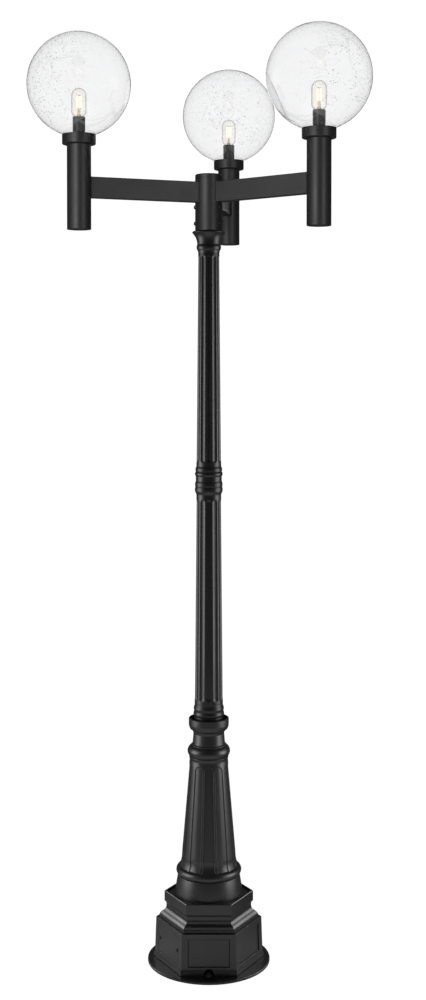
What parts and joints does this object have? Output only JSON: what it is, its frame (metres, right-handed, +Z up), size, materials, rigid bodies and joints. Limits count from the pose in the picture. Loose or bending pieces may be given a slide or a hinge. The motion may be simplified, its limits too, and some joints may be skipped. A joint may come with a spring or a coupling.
{
  "type": "lamp post",
  "caption": "Cast post light with a panelled plinth, a fluted shaft and a branched head of clear glass globes over tubular bulbs.",
  "frame": {"origin": "On the post's axis at the ground: the centre of the anchor bolt circle, in the underside of the flange.", "axes": "+Z up along the post, -Y is the front with the plain anchor notch, +X to the right seen from the front."},
  "size_m": [0.9992, 0.9636, 2.7956],
  "materials": {
    "cast_black": "matt black powder coat on cast aluminium",
    "tube_black": "matt black powder coat on tube",
    "screw_black": "blackened steel",
    "zinc_steel": "zinc plated steel",
    "mill_aluminium": "plain mill finish",
    "seedy_glass": "clear blown glass with small bubbles",
    "bulb_glass": "clear thin glass",
    "filament": "warm glowing rods on a glass stem",
    "gasket_rubber": "soft black rubber",
    "porcelain": "white glazed porcelain",
    "brass": "plain brass",
    "cap_metal": "nickel brass screw base"
  },
  "bodies": {
    "post": {"base_plinth": "cast_black", "fluted_pedestal": "cast_black", "pedestal_screws": "zinc_steel", "lower_shaft": "cast_black", "shaft_coupling": "mill_aluminium", "upper_shaft": "cast_black"},
    "door": {"access_door": "cast_black", "door_screws": "screw_black"},
    "head": {"hub_tube": "tube_black", "hub_cap": "tube_black", "hub_set_screws": "screw_black", "arm_1": "tube_black", "lamp_tube_1": "tube_black", "tube_end_cap_1": "tube_black", "globe_collar_1": "tube_black", "collar_screws_1": "screw_black", "globe_gasket_1": "gasket_rubber", "socket_sleeve_1": "tube_black", "stem_nipple_1": "zinc_steel", "socket_body_1": "porcelain", "socket_contacts_1": "brass", "arm_2": "tube_black", "lamp_tube_2": "tube_black", "tube_end_cap_2": "tube_black", "globe_collar_2": "tube_black", "collar_screws_2": "screw_black", "globe_gasket_2": "gasket_rubber", "socket_sleeve_2": "tube_black", "stem_nipple_2": "zinc_steel", "socket_body_2": "porcelain", "socket_contacts_2": "brass", "arm_3": "tube_black", "lamp_tube_3": "tube_black", "tube_end_cap_3": "tube_black", "globe_collar_3": "tube_black", "collar_screws_3": "screw_black", "globe_gasket_3": "gasket_rubber", "socket_sleeve_3": "tube_black", "stem_nipple_3": "zinc_steel", "socket_body_3": "porcelain", "socket_contacts_3": "brass"},
    "globe_1_body": {"globe_1": "seedy_glass"},
    "bulb_1": {"bulb_base_1": "cap_metal", "bulb_glass_1": "bulb_glass", "bulb_filament_1": "filament"},
    "globe_2_body": {"globe_2": "seedy_glass"},
    "bulb_2": {"bulb_base_2": "cap_metal", "bulb_glass_2": "bulb_glass", "bulb_filament_2": "filament"},
    "globe_3_body": {"globe_3": "seedy_glass"},
    "bulb_3": {"bulb_base_3": "cap_metal", "bulb_glass_3": "bulb_glass", "bulb_filament_3": "filament"}
  },
  "joints": [
    {"name": "head_swivel", "type": "hinge", "parent": "post", "child": "head", "pos_m": [0, 0, 2.2272], "axis": [0, 0, 1], "range_deg": [-180, 180]},
    {"name": "door_pull", "type": "slide", "parent": "post", "child": "door", "axis": [-0.8656, -0.4998, 0.0308], "range_m": [0, 0.06]},
    {"name": "globe_lift_1", "type": "slide", "parent": "head", "child": "globe_1_body", "axis": [0, 0, 1], "range_m": [0, 0.18]},
    {"name": "globe_lift_2", "type": "slide", "parent": "head", "child": "globe_2_body", "axis": [0, 0, 1], "range_m": [0, 0.18]},
    {"name": "globe_lift_3", "type": "slide", "parent": "head", "child": "globe_3_body", "axis": [0, 0, 1], "range_m": [0, 0.18]},
    {"name": "bulb_turn_1", "type": "hinge", "parent": "head", "child": "bulb_1", "pos_m": [-0.38042, -0.14299, 2.5482], "axis": [0, 0, 1], "range_deg": [0, 1260]},
    {"name": "bulb_turn_2", "type": "hinge", "parent": "head", "child": "bulb_2", "pos_m": [0.31404, -0.25795, 2.5482], "axis": [0, 0, 1], "range_deg": [0, 1260]},
    {"name": "bulb_turn_3", "type": "hinge", "parent": "head", "child": "bulb_3", "pos_m": [0.06638, 0.40094, 2.5482], "axis": [0, 0, 1], "range_deg": [0, 1260]}
  ]
}
